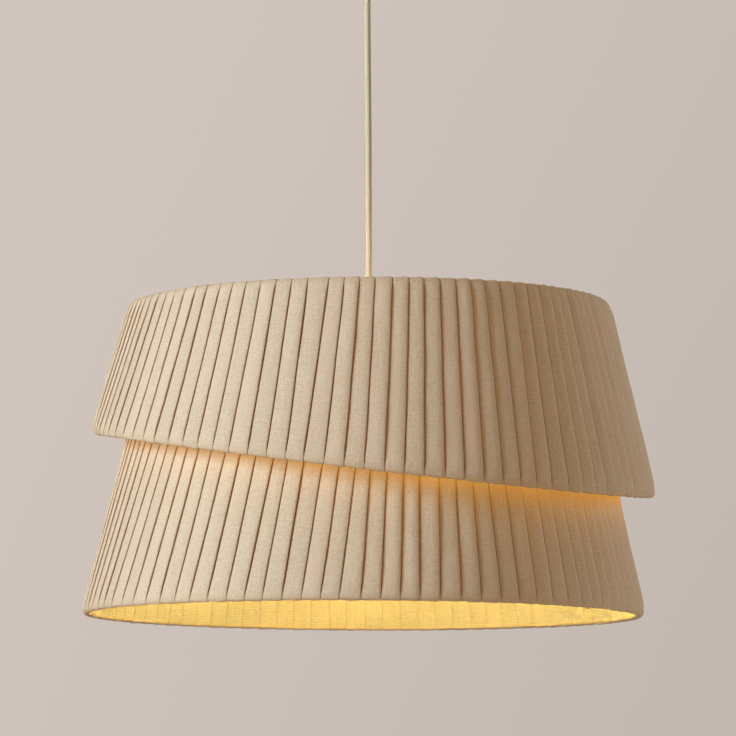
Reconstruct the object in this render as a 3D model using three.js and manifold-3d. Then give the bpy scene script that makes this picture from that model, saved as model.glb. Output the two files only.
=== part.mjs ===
// Pleated fabric pendant lamp shade in two tiers, on its wire frame, with the
// lampholder, bulb, cord and ceiling rose that it hangs from.
//
// Millimetres, +Z up. The origin is the centre of the ceiling rose's back, where
// it meets the ceiling; everything hangs below it. +X is the side where the
// slanted rim of the upper tier is low, and -Y is the front.
//
// The upper tier is a cone cut off by a slanted plane at its lower rim. The lower
// tier is a second, steeper cone that starts inside the upper one. Each tier's
// cover is one strip of cloth wound over its two wire rings: an outer and an
// inner layer that meet in a roll round each ring, open in a narrow slot just
// under the top ring where the frame's wires pass through.

import * as THREE from 'three';
import { mergeVertices } from 'three/addons/utils/BufferGeometryUtils.js';
import Module from 'manifold-3d';

const wasm = await Module();
wasm.setup();

// ------------------------------------------------------------ driving sizes
const DROP = 560;            // ceiling to the lower rim

const LOWER_RIM_R = 225;     // outer radius of the lower tier at its lower rim
const LOWER_SLOPE = 0.2366;  // how fast it narrows with height
const LOWER_TOP = 175;       // its top edge, above the lower rim

const UPPER_TOP_R = 193.5;   // outer radius of the upper tier at its top rim
const UPPER_TOP = 249.5;     // the top rim, above the lower rim
const UPPER_SLOPE = 0.257;   // how fast it widens downwards
const SLANT_MID = 122.7;     // slanted rim: its height at the axis,
const SLANT_X = -0.1103;     // and its slope along X
const SLANT_Y = 0.1046;      // and along Y

const WIRE_R = 1.5;          // frame wire, 3 mm
const CAVITY_R = 1.85;       // room for the wire inside the cover's rolls
const ROLL_R = 2.6;          // outside of the rolls
const SLOT_FROM = 1.0;       // slot in the inner layer, below the top ring
const SLOT_TO = 6.2;
const WIRE_DEPTH = 3.55;     // the radial wires pass this far below a top ring

const GAP = 0.3;             // between pieces that touch
const AROUND = 48;           // facets round the shade
const ROUND = 24;            // facets round the small turned pieces

const CORD_R = 2.5;
const CORD_TOP = -45.2;      // where the cord leaves the rose, the swing pivot
const CORD_BOTTOM = -297.0;
const NIPPLE_TOP = -298.4;

const FITTER_TOP = -340.3;   // the shade's fitter ring under the holder's flange
const FITTER_THICK = 2;
const FITTER_IN = 20.6;
const FITTER_OUT = 30;

const ARM_ANGLES = [90, 210, 330];
const BRIDGE_ANGLES = [30, 150, 270];
const STRUT_ANGLES = [0, 60, 120, 180, 240, 300];

// ------------------------------------------------------------ materials
const mat = (color, roughness, metalness, extra = {}) =>
  () => new THREE.MeshStandardMaterial({ color, roughness, metalness, ...extra });
const CLOTH = mat(0xd6c6ac, 0.9, 0.0);
const CORD_CLOTH = mat(0xd9c8a8, 0.9, 0.0);
const WIRE_PAINT = mat(0xf0ece2, 0.45, 0.2);
const CREAM_PLASTIC = mat(0xece6da, 0.5, 0.0);
const WHITE_PLASTIC = mat(0xf4f2ec, 0.35, 0.0);
const OPAL = mat(0xffe9bd, 0.3, 0.0, { emissive: 0xffc46a, emissiveIntensity: 0.8 });
const BRASS = mat(0xc9a55a, 0.35, 1.0);
const STEEL = mat(0xb9b9bb, 0.35, 1.0);
const ALUMINIUM = mat(0xc8cacc, 0.4, 1.0);
const PORCELAIN = mat(0xf2efe8, 0.25, 0.0);
const CORE_BROWN = mat(0x6b3f22, 0.45, 0.0);
const CORE_BLUE = mat(0x2f5f9e, 0.45, 0.0);
const BLACK_GLASS = mat(0x1b1a1c, 0.2, 0.0);

const shadeLamp = new THREE.Group();

// ------------------------------------------------------------ geometry helpers
// one closed body, shared vertices merged, faces pointing out
function closed(geometry) {
  let g = geometry.clone();
  for (const name of Object.keys(g.attributes)) if (name !== 'position') g.deleteAttribute(name);
  g.clearGroups();
  g = mergeVertices(g, 1e-4);
  const p = g.attributes.position.array;
  const src = g.index.array;
  const keep = [];
  let volume = 0;
  for (let i = 0; i < src.length; i += 3) {
    const [a, b, c] = [src[i], src[i + 1], src[i + 2]];
    if (a === b || b === c || a === c) continue;
    keep.push(a, b, c);
    const [ax, ay, az] = [p[3 * a], p[3 * a + 1], p[3 * a + 2]];
    const [bx, by, bz] = [p[3 * b], p[3 * b + 1], p[3 * b + 2]];
    const [cx, cy, cz] = [p[3 * c], p[3 * c + 1], p[3 * c + 2]];
    volume += ax * (by * cz - bz * cy) + ay * (bz * cx - bx * cz) + az * (bx * cy - by * cx);
  }
  if (volume < 0) for (let i = 0; i < keep.length; i += 3) [keep[i + 1], keep[i + 2]] = [keep[i + 2], keep[i + 1]];
  g.setIndex(keep);
  return g;
}

function add(name, geometry, material, place) {
  const mesh = new THREE.Mesh(closed(geometry), material());
  mesh.name = name;
  if (place) place(mesh);
  shadeLamp.add(mesh);
  return mesh;
}

// a closed ring whose section, given at each angle, may change on the way round
function ring(section, around = AROUND) {
  const rows = [];
  for (let j = 0; j < around; j++) rows.push(section((2 * Math.PI * j) / around));
  const n = rows[0].length;
  const position = [];
  const index = [];
  rows.forEach((row, j) => {
    const a = (2 * Math.PI * j) / around;
    for (const [r, z] of row) position.push(r * Math.cos(a), r * Math.sin(a), z);
  });
  for (let j = 0; j < around; j++) {
    const k = (j + 1) % around;
    for (let i = 0; i < n; i++) {
      const m = (i + 1) % n;
      index.push(j * n + i, k * n + i, k * n + m, j * n + i, k * n + m, j * n + m);
    }
  }
  const g = new THREE.BufferGeometry();
  g.setAttribute('position', new THREE.Float32BufferAttribute(position, 3));
  g.setIndex(index);
  return g;
}

// turned piece about Z from [radius, height] points
function turned(points, facets = ROUND) {
  const first = points[0];
  const last = points[points.length - 1];
  const list = points.map(([r, z]) => new THREE.Vector2(r, z));
  if (first[0] > 0 || last[0] > 0) list.push(new THREE.Vector2(first[0], first[1]));
  const g = new THREE.LatheGeometry(list, facets);
  g.rotateX(Math.PI / 2);
  return g;
}

// round bar along a curve
function bar(curve, radius, steps, sides = 6) {
  const section = new THREE.Shape();
  for (let i = 0; i < sides; i++) {
    const a = (2 * Math.PI * i) / sides;
    const [x, y] = [radius * Math.cos(a), radius * Math.sin(a)];
    if (i === 0) section.moveTo(x, y); else section.lineTo(x, y);
  }
  section.closePath();
  return new THREE.ExtrudeGeometry(section, { steps, bevelEnabled: false, extrudePath: curve });
}
const straight = (a, b) => new THREE.LineCurve3(new THREE.Vector3(...a), new THREE.Vector3(...b));
const polar = (r, degrees, z) => [
  r * Math.cos(THREE.MathUtils.degToRad(degrees)),
  r * Math.sin(THREE.MathUtils.degToRad(degrees)), z];

function toManifold(geometry) {
  const g = closed(geometry);
  return new wasm.Manifold(new wasm.Mesh({
    numProp: 3,
    vertProperties: new Float32Array(g.attributes.position.array),
    triVerts: new Uint32Array(g.index.array),
  }));
}
function fromManifold(solid) {
  const m = solid.getMesh();
  const g = new THREE.BufferGeometry();
  g.setAttribute('position', new THREE.Float32BufferAttribute(new Float32Array(m.vertProperties), 3));
  g.setIndex(Array.from(m.triVerts));
  return g;
}
const moved = (geometry, x, y, z) => { geometry.translate(x, y, z); return geometry; };

// ------------------------------------------------------------ the two tiers
// In the half plane [radius, z]: along runs down the wall, out points outwards.
function tier(topR, topZ, slope) {
  const l = Math.hypot(slope, 1);
  const along = [slope / l, -1 / l];
  const out = [1 / l, slope / l];
  // centre of the wire whose roll just reaches the height topZ
  const s = (ROLL_R - ROLL_R * out[1]) / -along[1];
  const top = [topR + along[0] * s - ROLL_R * out[0], topZ - ROLL_R];
  return { along, out, top, at: (d, o = 0) => [
    top[0] + along[0] * d + out[0] * o, top[1] + along[1] * d + out[1] * o] };
}

const upper = tier(UPPER_TOP_R, UPPER_TOP - DROP, UPPER_SLOPE);
const lower = tier(LOWER_RIM_R - LOWER_SLOPE * LOWER_TOP, LOWER_TOP - DROP, LOWER_SLOPE);

// distance down the wall from the top ring to the lower ring, at an angle
upper.length = (a) => {
  const k = SLANT_X * Math.cos(a) + SLANT_Y * Math.sin(a);
  let d = 100;
  for (let i = 0; i < 30; i++) {
    const r = upper.at(d)[0];
    const z = SLANT_MID - DROP + k * (r + ROLL_R * 0.9) + ROLL_R * 1.02;
    d = (upper.top[1] - z) / -upper.along[1];
  }
  return d;
};
lower.length = () => (lower.top[1] - (-DROP + ROLL_R)) / -lower.along[1];

function coverSection(t, a) {
  const length = t.length(a);
  const p = (d, o) => t.at(d, o);
  const arc = (d0, radius, from, to, side) => {
    const pts = [];
    for (let i = 0; i <= 4; i++) {
      const f = from + ((to - from) * i) / 4;
      pts.push(p(d0 + side * radius * Math.sin(f), radius * Math.cos(f)));
    }
    return pts;
  };
  return [
    p(SLOT_TO, -ROLL_R),
    ...arc(length, ROLL_R, Math.PI, 0, 1),
    ...arc(0, ROLL_R, 0, Math.PI, -1),
    p(SLOT_FROM, -ROLL_R),
    p(SLOT_FROM, -CAVITY_R),
    ...arc(0, CAVITY_R, Math.PI, 0, -1),
    ...arc(length, CAVITY_R, 0, Math.PI, 1),
    p(SLOT_TO, -CAVITY_R),
  ];
}
function wireSection(t, distance) {
  const pts = [];
  for (let i = 0; i < 6; i++) {
    const f = (Math.PI * i) / 3;
    pts.push(t.at(distance + WIRE_R * Math.sin(f), WIRE_R * Math.cos(f)));
  }
  return pts;
}
const at3 = (t, degrees, d, o = 0) => {
  const [r, z] = t.at(d, o);
  return polar(r, degrees, z);
};

for (const [name, t] of [['upper', upper], ['lower', lower]]) {
  add(`${name}_cover`, ring((a) => coverSection(t, a)), CLOTH);
  add(`${name}_top_ring`, ring(() => wireSection(t, 0)), WIRE_PAINT);
  add(`${name}_rim_ring`, ring((a) => wireSection(t, t.length(a))), WIRE_PAINT);
  STRUT_ANGLES.forEach((degrees, i) => {
    const length = t.length(THREE.MathUtils.degToRad(degrees));
    const end = WIRE_R + GAP + (t === upper ? 0.25 : 0);
    add(`${name}_strut_${i + 1}`,
      bar(straight(at3(t, degrees, WIRE_R + GAP), at3(t, degrees, length - end)), WIRE_R, 1),
      WIRE_PAINT);
  });
}

// the spider: a fitter ring under the lampholder's flange and three arms
add('fitter_ring', turned([
  [FITTER_IN, FITTER_TOP], [FITTER_OUT, FITTER_TOP],
  [FITTER_OUT, FITTER_TOP - FITTER_THICK], [FITTER_IN, FITTER_TOP - FITTER_THICK]]), WIRE_PAINT);
ARM_ANGLES.forEach((degrees, i) => {
  const from = polar(FITTER_OUT + GAP, degrees, FITTER_TOP - FITTER_THICK / 2);
  add(`spider_arm_${i + 1}`, bar(straight(from, at3(upper, degrees, WIRE_DEPTH, 0.4)), WIRE_R, 1), WIRE_PAINT);
});

// bent wires that hang the lower tier's top ring from the upper tier's
BRIDGE_ANGLES.forEach((degrees, i) => {
  const route = [
    at3(upper, degrees, WIRE_DEPTH, 0.6), at3(upper, degrees, WIRE_DEPTH, -2.4),
    at3(upper, degrees, WIRE_DEPTH + 1.4, -6.0), at3(upper, degrees, WIRE_DEPTH + 8, -10.0),
    at3(lower, degrees, -30, -8.6), at3(lower, degrees, -9, -8.8),
    at3(lower, degrees, WIRE_DEPTH - 3.6, -8.0), at3(lower, degrees, WIRE_DEPTH - 0.6, -5.6),
    at3(lower, degrees, WIRE_DEPTH, -2.4), at3(lower, degrees, WIRE_DEPTH, 0.6),
  ].map((p) => new THREE.Vector3(...p));
  add(`bridge_wire_${i + 1}`, bar(new THREE.CatmullRomCurve3(route, false, 'centripetal'), WIRE_R, 18), WIRE_PAINT);
});

// ------------------------------------------------------------ lampholder
add('cord_nipple', turned([
  [2.9, NIPPLE_TOP], [3.5, NIPPLE_TOP], [5.0, NIPPLE_TOP - 3.2], [7.0, NIPPLE_TOP - 7.0],
  [7.2, NIPPLE_TOP - 9.6], [4.9, NIPPLE_TOP - 9.6], [4.9, NIPPLE_TOP - 14.5], [2.9, NIPPLE_TOP - 14.5]],
  16), CREAM_PLASTIC);
const CAP_TOP = NIPPLE_TOP - 9.6 - GAP;   // -308.3
add('lampholder_cap', turned([
  [5.25, CAP_TOP], [11, CAP_TOP], [16, CAP_TOP - 2.6], [18.8, CAP_TOP - 7.5], [19.8, CAP_TOP - 14],
  [19.8, CAP_TOP - 21.7], [17.6, CAP_TOP - 21.7], [17.6, CAP_TOP - 13.5], [16.4, CAP_TOP - 8],
  [14, CAP_TOP - 4.2], [10.5, CAP_TOP - 2.4], [5.25, CAP_TOP - 2.4]]), CREAM_PLASTIC);
add('cord_end', bar(straight([0, 0, NIPPLE_TOP - 0.6], [0, 0, -317]), CORD_R, 2, 8), CORD_CLOTH);
for (const [name, side, material] of [['core_live', -1, CORE_BROWN], ['core_neutral', 1, CORE_BLUE]]) {
  const route = [[1.25, 0, -317.3], [1.6, 0, -320], [4.2, 0, -323], [7.4, 0, -325.2], [8.6, 0, -328.0]]
    .map(([x, y, z]) => new THREE.Vector3(side * x, y, z));
  add(name, bar(new THREE.CatmullRomCurve3(route), 0.9, 6, 6), material);
}
add('contact_carrier', turned([
  [0, -331.0], [14.6, -331.0], [15.8, -332.0], [15.8, -337.4], [0, -337.4]]), PORCELAIN);
for (const [name, x] of [['holder_screw_live', -8.6], ['holder_screw_neutral', 8.6]]) {
  add(name, moved(turned([[0, -328.4], [1.8, -328.4], [2.3, -329.0], [2.3, -330.6], [0, -330.6]], 12), x, 0, 0), BRASS);
}
{
  // springy tongue that presses on the bulb's contact
  const tongue = new THREE.Shape();
  [[-7, -337.9], [-3.2, -338.2], [3.4, -340.9], [5.6, -340.7], [5.6, -341.3], [3.2, -341.5], [-3.4, -338.8], [-7, -338.5]]
    .forEach(([x, z], i) => (i ? tongue.lineTo(x, z) : tongue.moveTo(x, z)));
  tongue.closePath();
  const g = new THREE.ExtrudeGeometry(tongue, { depth: 6, bevelEnabled: false });
  g.rotateX(Math.PI / 2);
  g.translate(0, 3, 0);
  add('centre_contact', g, BRASS);
}
add('lampholder_body', turned([
  [16.3, -330.3], [19.8, -330.3], [19.8, -337.0], [23, -337.0], [23, FITTER_TOP + GAP], [19.8, FITTER_TOP + GAP],
  [19.8, -371.0], [19.0, -372.0], [15.0, -372.0], [15.0, -341.8], [13.2, -341.8], [13.2, -337.7], [16.3, -337.7]]),
  CREAM_PLASTIC);
add('screw_shell', turned([[14.0, -342.4], [14.7, -342.4], [14.7, -369.5], [14.0, -369.5]]), BRASS);
add('shade_ring', turned([
  [20.2, FITTER_TOP - FITTER_THICK - GAP], [26.4, FITTER_TOP - FITTER_THICK - GAP], [27, -343.6],
  [27, -346.0], [24.0, -347.2], [23.4, -356.2], [20.2, -356.2]]), CREAM_PLASTIC);

// ------------------------------------------------------------ bulb
add('bulb_contact', turned([[0, -341.9], [3.4, -341.9], [4.6, -342.5], [4.6, -343.4], [0, -343.4]], 16), STEEL);
add('bulb_insulator', turned([[0, -343.7], [5.2, -343.7], [11.2, -346.4], [0, -346.4]], 20), BLACK_GLASS);
add('bulb_cap', turned([
  [11.6, -346.7], [12.6, -347.2], [13.3, -349.0], [13.3, -371.0], [12.6, -371.0], [12.6, -349.4], [11.6, -348.0]]),
  ALUMINIUM);
add('bulb_housing', turned([
  [0, -350], [12.2, -350], [12.2, -371.3], [13.6, -371.3], [14.4, -374], [17.4, -383], [22.6, -396],
  [26.2, -406], [27.1, -412.0], [0, -412.0]]), WHITE_PLASTIC);
add('bulb_led_board', turned([[0, -412.4], [20, -412.4], [20, -414.2], [0, -414.2]]), ALUMINIUM);
{
  const outer = [];
  const inner = [];
  for (let i = 0; i <= 9; i++) {
    const f = -Math.PI / 2 + (i / 9) * (Math.PI / 2 + 0.435);
    outer.push([30 * Math.cos(f), -425 + 30 * Math.sin(f)]);
    inner.push([28.8 * Math.cos(f), -425 + 28.8 * Math.sin(f)]);
  }
  outer[0][0] = 0;
  inner[0][0] = 0;
  add('bulb_dome', turned([...outer, ...inner.reverse()]), OPAL);
}

// ------------------------------------------------------------ cord
add('pendant_cord', bar(straight([0, 0, CORD_TOP], [0, 0, CORD_BOTTOM]), CORD_R, 20, 8), CORD_CLOTH);

// ------------------------------------------------------------ ceiling rose
{
  // base: a disc against the ceiling with a threaded wall for the cover,
  // two slots for the fixing screws and an entry for the supply cable
  const disc = new THREE.Shape();
  for (let i = 0; i < 32; i++) disc[i ? 'lineTo' : 'moveTo'](...polar(42.6, i * 11.25, 0).slice(0, 2));
  for (const side of [-1, 1]) {
    const slot = new THREE.Path();
    slot.absarc(side * 26, 3.5, 2.6, 0, Math.PI, false);
    slot.absarc(side * 26, -3.5, 2.6, Math.PI, 2 * Math.PI, false);
    slot.closePath();
    disc.holes.push(slot);
  }
  const entry = new THREE.Path();
  entry.absarc(0, -26, 7, 0, 2 * Math.PI, true);
  disc.holes.push(entry);
  const plate = new THREE.ExtrudeGeometry(disc, { depth: 4, bevelEnabled: false, curveSegments: 10 });
  plate.translate(0, 0, -4);
  const wall = turned([[40.2, -3], [42.4, -3], [42.4, -13], [40.2, -13]], 32);
  add('rose_base_plate', fromManifold(toManifold(plate).add(toManifold(wall))), CREAM_PLASTIC);
}
add('rose_cover', turned([
  [43.6, -0.6], [46.2, -0.6], [46.2, -24], [44.4, -29.5], [39.5, -33.5], [24, -37.2],
  [7.7, -38.6], [7.7, -36.4], [23.5, -35.0], [38.3, -31.4], [42.4, -28.2], [43.6, -23.6]], 32), CREAM_PLASTIC);
{
  const block = new THREE.Shape();
  block.moveTo(-15, -6); block.lineTo(15, -6); block.lineTo(15, 4.5); block.lineTo(13.5, 6);
  block.lineTo(-13.5, 6); block.lineTo(-15, 4.5); block.closePath();
  const g = new THREE.ExtrudeGeometry(block, { depth: 13, bevelEnabled: false });
  g.translate(0, 24, -17.3);
  add('terminal_block', g, WHITE_PLASTIC);
}
for (const [name, x] of [['terminal_screw_live', -7.5], ['terminal_screw_neutral', 7.5]]) {
  add(name, moved(turned([[0, -17.6], [2.4, -17.6], [2.4, -18.8], [1.7, -19.4], [0, -19.4]], 12), x, 24, 0), BRASS);
}
{
  // grip: holds the cord in the middle of the rose and lets it out through a
  // flared mouth; a window above lets it turn away to the terminals
  const sleeve = toManifold(turned([
    [3.2, -4.3], [11, -4.3], [11, -6.6], [7.0, -8.0], [7.0, -42.0], [5.6, -45.0], [4.4, -45.0], [3.2, -41.5]]));
  const window_ = toManifold(moved(new THREE.BoxGeometry(6.4, 8, 17.4), 0, 6, -17.3));
  const screwHole = toManifold(moved(turned([[0, -6], [1.9, -6], [1.9, 6], [0, 6]], 12).rotateY(Math.PI / 2), 8, 0, -26));
  add('cord_grip', fromManifold(sleeve.subtract(window_).subtract(screwHole)), WHITE_PLASTIC);
}
add('grip_screw', moved(turned([[0, 3.0], [1.55, 3.0], [1.55, 9.4], [0, 9.4]], 12).rotateY(Math.PI / 2), 0, 0, -26), STEEL);
{
  const route = [[0, 0, -43.7], [0, 0, -36], [0, 0, -29], [0, 0, -22.5], [0, 0.8, -17.6], [0, 4.2, -13.6], [0, 10, -12.3], [0, 17.6, -12.3]]
    .map((p) => new THREE.Vector3(...p));
  add('cord_tail', bar(new THREE.CatmullRomCurve3(route), CORD_R, 12, 8), CORD_CLOTH);
}

export default shadeLamp;
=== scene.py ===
import math
import random

import bpy
from mathutils import Matrix, Vector, noise


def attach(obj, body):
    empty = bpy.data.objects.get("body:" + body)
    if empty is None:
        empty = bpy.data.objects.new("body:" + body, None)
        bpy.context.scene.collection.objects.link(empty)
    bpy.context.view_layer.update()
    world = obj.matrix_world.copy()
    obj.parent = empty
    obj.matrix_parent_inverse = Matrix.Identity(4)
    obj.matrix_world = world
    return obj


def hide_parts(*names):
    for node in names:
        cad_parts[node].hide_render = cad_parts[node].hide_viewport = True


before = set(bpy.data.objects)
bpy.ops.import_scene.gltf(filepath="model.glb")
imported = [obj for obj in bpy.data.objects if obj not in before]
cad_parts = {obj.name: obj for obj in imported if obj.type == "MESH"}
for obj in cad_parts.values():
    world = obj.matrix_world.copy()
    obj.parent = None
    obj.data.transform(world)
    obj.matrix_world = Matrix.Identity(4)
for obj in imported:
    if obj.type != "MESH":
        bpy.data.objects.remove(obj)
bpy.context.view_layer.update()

# Two-tier pleated pendant shade on its wire frame, with lampholder, bulb, cord
# and ceiling rose. Lengths below are in millimetres in the row frame (origin at
# the ceiling rose's back, +Z up, -Y the front) and go to metres when a mesh is
# made.

MM = 0.001

# ------------------------------------------------------------ camera
cam_data = bpy.data.cameras.new("camera")
cam_data.sensor_width = 36.0
cam_data.lens = 226.45
cam_data.clip_start = 0.05
cam_data.clip_end = 200.0
cam = bpy.data.objects.new("camera", cam_data)
bpy.context.collection.objects.link(cam)
cam.matrix_world = (
    Matrix.Translation((0.00154, -3.717, -0.76327))
    @ Matrix.Rotation(math.pi / 2 + 0.10811, 4, "X")
    @ Matrix.Rotation(0.00417, 4, "Z")
)
bpy.context.scene.camera = cam

# ------------------------------------------------------------ node helpers
def srgb(r, g, b):
    def lin(c):
        c /= 255.0
        return c / 12.92 if c <= 0.04045 else ((c + 0.055) / 1.055) ** 2.4
    return (lin(r), lin(g), lin(b), 1.0)


class Tree:
    """A material's node tree, with short calls to add nodes and link them."""

    def __init__(self, name):
        self.mat = bpy.data.materials.new(name)
        self.mat.use_nodes = True
        self.nt = self.mat.node_tree
        self.bsdf = next(n for n in self.nt.nodes if n.type == "BSDF_PRINCIPLED")
        self.out = next(n for n in self.nt.nodes if n.type == "OUTPUT_MATERIAL")

    def add(self, kind, **props):
        n = self.nt.nodes.new(kind)
        for k, v in props.items():
            setattr(n, k, v)
        return n

    def link(self, a, b):
        self.nt.links.new(a, b)

    def put(self, socket, value):
        if hasattr(value, "is_output"):
            self.link(value, socket)
        else:
            socket.default_value = value

    def math(self, op, a, b=None, c=None, clamp=False):
        n = self.add("ShaderNodeMath", operation=op, use_clamp=clamp)
        for i, v in enumerate((a, b, c)):
            if v is not None:
                self.put(n.inputs[i], v)
        return n.outputs[0]

    def mix(self, factor, a, b, blend="MIX"):
        n = self.add("ShaderNodeMix", data_type="RGBA", blend_type=blend)
        self.put(n.inputs[0], factor)
        self.put(n.inputs[6], a)
        self.put(n.inputs[7], b)
        return n.outputs[2]

    def object_coords(self):
        return self.add("ShaderNodeTexCoord").outputs["Object"]

    def vector(self, x, y, z=0.0):
        n = self.add("ShaderNodeCombineXYZ")
        for i, v in enumerate((x, y, z)):
            self.put(n.inputs[i], v)
        return n.outputs[0]

    def split(self, vector):
        n = self.add("ShaderNodeSeparateXYZ")
        self.link(vector, n.inputs[0])
        return n.outputs

    def noise(self, vector, scale, detail=2.0, rough=0.5):
        n = self.add("ShaderNodeTexNoise")
        self.link(vector, n.inputs["Vector"])
        n.inputs["Scale"].default_value = scale
        n.inputs["Detail"].default_value = detail
        n.inputs["Roughness"].default_value = rough
        return n.outputs["Fac"]

    def ramp(self, value, stops):
        n = self.add("ShaderNodeValToRGB")
        self.link(value, n.inputs[0])
        e = n.color_ramp.elements
        while len(e) < len(stops):
            e.new(0.5)
        for el, (p, c) in zip(e, stops):
            el.position = p
            el.color = c if len(c) == 4 else (*c, 1.0)
        return n.outputs[0]

    def spread(self, value, lo, hi, to_lo=0.0, to_hi=1.0):
        n = self.add("ShaderNodeMapRange")
        self.link(value, n.inputs[0])
        for i, v in enumerate((lo, hi, to_lo, to_hi)):
            n.inputs[i + 1].default_value = v
        return n.outputs[0]

    def attribute(self, name):
        return self.add("ShaderNodeAttribute", attribute_name=name).outputs["Fac"]

    def bump(self, height, distance, strength=1.0, normal=None):
        n = self.add("ShaderNodeBump")
        n.inputs["Strength"].default_value = strength
        n.inputs["Distance"].default_value = distance
        self.link(height, n.inputs["Height"])
        if normal is not None:
            self.link(normal, n.inputs["Normal"])
        return n.outputs[0]


# ------------------------------------------------------------ materials
def cloth_material():
    """Ribbed cloth of the two covers: cross ribs and threads, a slightly
    different tone on each strip, and painted shade, dark brown, where one strip
    tucks under the next. The lamp is lit, so the cloth carries painted glow: a
    little for what comes through it, a warm trace in the tucks, and amber where
    light from inside falls out between the two tiers."""
    t = Tree("pleated_cloth")
    uv = t.add("ShaderNodeUVMap", uv_map="cloth").outputs[0]
    u, v, _ = t.split(uv)               # millimetres: across the strip, down the wall
    crevice_shade = t.attribute("crevice_shade")
    strip = t.attribute("strip")
    rim = t.attribute("rim")
    through = t.attribute("through")
    spill = t.attribute("spill")

    # ribs run across the strip, threads down it; noise drawn out along each
    slub = t.noise(t.vector(t.math("MULTIPLY", u, 0.16), t.math("MULTIPLY", v, 0.75), strip), 1.0, 3.0, 0.6)
    yarn = t.noise(t.vector(t.math("MULTIPLY", u, 0.95), t.math("MULTIPLY", v, 0.05), strip), 1.0, 3.0, 0.55)
    fleck = t.noise(t.vector(t.math("MULTIPLY", u, 0.8), t.math("MULTIPLY", v, 0.55), strip), 1.0, 2.0, 0.6)
    blotch = t.noise(t.vector(t.math("MULTIPLY", u, 0.03), t.math("MULTIPLY", v, 0.018), strip), 1.0, 2.0)
    rib = t.math("SINE", t.math("ADD", t.math("MULTIPLY", v, 2 * math.pi / 1.3), t.math("MULTIPLY", slub, 2.5)))
    warp = t.math("SINE", t.math("ADD", t.math("MULTIPLY", u, 2 * math.pi / 0.8), t.math("MULTIPLY", yarn, 4.0)))

    tone = t.math("ADD", t.math("MULTIPLY", slub, 0.32), t.math("MULTIPLY", yarn, 0.36))
    tone = t.math("ADD", tone, t.math("MULTIPLY", fleck, 0.60))
    tone = t.math("ADD", tone, t.math("MULTIPLY", blotch, 0.14))
    tone = t.math("SUBTRACT", tone, 0.25)
    tone = t.math("ADD", tone, t.math("MULTIPLY", strip, 0.08))
    tone = t.math("ADD", tone, t.math("MULTIPLY", rib, 0.045))
    tone = t.math("ADD", tone, t.math("MULTIPLY", warp, 0.02))
    face = t.ramp(tone, [
        (0.36, FACE_LOW), (0.51, FACE_MID), (0.68, FACE_HIGH)])
    # undyed yarn: some strips and patches a little pinker, others a little greener
    hue = t.noise(t.vector(t.math("MULTIPLY", u, 0.22), t.math("MULTIPLY", v, 0.16), t.math("ADD", strip, 7.0)), 1.0, 2.0)
    hue = t.math("ADD", t.math("MULTIPLY", hue, 0.75), t.math("MULTIPLY", strip, 0.25))
    tint = t.ramp(hue, [(0.34, (0.975, 1.0, 0.985, 1.0)), (0.66, (1.0, 0.968, 0.955, 1.0))])
    face = t.mix(1.0, face, tint, "MULTIPLY")
    face = t.mix(t.math("MULTIPLY", rim, 0.25), face, srgb(190, 178, 152))
    # painted crevice shade: dark brown where one strip tucks under the next, standing in for the shade and warm bounce
    # light there
    painted_crevice_colour = t.mix(t.noise(t.vector(t.math("MULTIPLY", v, 0.15), strip, 0.0), 1.0), srgb(88, 52, 30), srgb(116, 74, 44))
    colour = t.mix(t.math("MULTIPLY", crevice_shade, 0.95, clamp=True), face, painted_crevice_colour)

    height = t.math("ADD", t.math("MULTIPLY", rib, 0.5), t.math("MULTIPLY", warp, 0.25))
    height = t.math("ADD", height, t.math("MULTIPLY", slub, 0.9))
    height = t.math("ADD", height, t.math("MULTIPLY", yarn, 0.9))
    height = t.math("ADD", height, t.math("MULTIPLY", fleck, 0.7))
    normal = t.bump(height, 0.00020, 0.5)

    b = t.bsdf
    t.link(colour, b.inputs["Base Color"])
    t.link(normal, b.inputs["Normal"])
    t.link(t.spread(slub, 0.3, 0.7, 0.82, 0.96), b.inputs["Roughness"])
    b.inputs["Specular IOR Level"].default_value = 0.2
    b.inputs["Sheen Weight"].default_value = 0.08
    b.inputs["Sheen Roughness"].default_value = 0.5

    # painted glow: emission standing in for light coming through the cloth (less in the tucks), the amber spill
    # between the tiers, and a warm trace of light in the tucks
    clear = t.math("SUBTRACT", 1.0, t.math("MULTIPLY", crevice_shade, 0.9), clamp=True)
    weave = t.spread(tone, 0.36, 0.68, 0.9, 1.1)
    body = t.math("MULTIPLY", t.math("MULTIPLY", through, clear), weave)
    half = t.math("SUBTRACT", 1.0, t.math("MULTIPLY", crevice_shade, 0.62), clamp=True)
    band = t.math("MULTIPLY", t.math("MULTIPLY", spill, half), weave)
    glow = t.mix(1.0, t.mix(body, (0, 0, 0, 1), THROUGH), t.mix(band, (0, 0, 0, 1), SPILL), "ADD")
    crevice_glow = t.math("MULTIPLY", t.math("MULTIPLY", crevice_shade, crevice_shade), through)
    glow = t.mix(1.0, glow, t.mix(crevice_glow, (0, 0, 0, 1), CREVICE_GLOW), "ADD")
    t.link(glow, b.inputs["Emission Color"])
    b.inputs["Emission Strength"].default_value = 1.0
    return t.mat


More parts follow.
